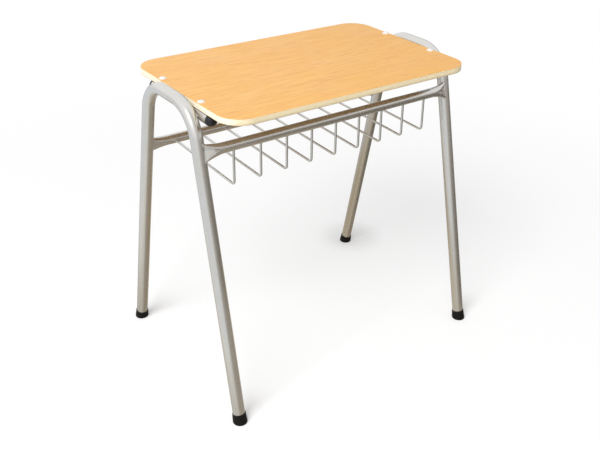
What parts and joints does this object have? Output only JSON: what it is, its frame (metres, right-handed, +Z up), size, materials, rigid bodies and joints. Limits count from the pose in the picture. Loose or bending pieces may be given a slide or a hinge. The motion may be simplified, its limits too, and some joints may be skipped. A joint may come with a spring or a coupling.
{
  "type": "school desk",
  "caption": "Single school desk with a fixed rounded plywood top riveted to two bent tube leg frames, two cross rails with crushed ends and an open wire book basket.",
  "frame": {"origin": "on the floor under the middle of the desk", "axes": "+X along the long side to the right of the person sitting at the desk, +Y from the sitting side to the back, +Z up"},
  "size_m": [0.7736, 0.5672, 0.77],
  "materials": {
    "laminate": "satin orange beech laminate, fine straight grain along the long side",
    "plywood": "clear sealed plywood edge with visible layers",
    "frame_paint": "satin silver grey powder paint",
    "rivet_metal": "plain, slightly rounded, satin",
    "plug_plastic": "black, soft gloss",
    "cap_rubber": "black, matt"
  },
  "bodies": {
    "root": {"backing_laminate": "laminate", "basket_wire_1": "frame_paint", "basket_wire_2": "frame_paint", "basket_wire_3": "frame_paint", "basket_wire_4": "frame_paint", "basket_wire_5": "frame_paint", "basket_wire_6": "frame_paint", "basket_wire_7": "frame_paint", "basket_wire_8": "frame_paint", "basket_wire_9": "frame_paint", "front_left_bearer_plug": "plug_plastic", "front_left_foot_cap": "cap_rubber", "front_left_rivet": "rivet_metal", "front_rail": "frame_paint", "front_right_bearer_plug": "plug_plastic", "front_right_foot_cap": "cap_rubber", "front_right_rivet": "rivet_metal", "left_bearer": "frame_paint", "left_leg_frame": "frame_paint", "plywood_core": "plywood", "rear_left_bearer_plug": "plug_plastic", "rear_left_foot_cap": "cap_rubber", "rear_left_rivet": "rivet_metal", "rear_rail": "frame_paint", "rear_right_bearer_plug": "plug_plastic", "rear_right_foot_cap": "cap_rubber", "rear_right_rivet": "rivet_metal", "right_bearer": "frame_paint", "right_leg_frame": "frame_paint", "top_laminate": "laminate"}
  },
  "joints": []
}
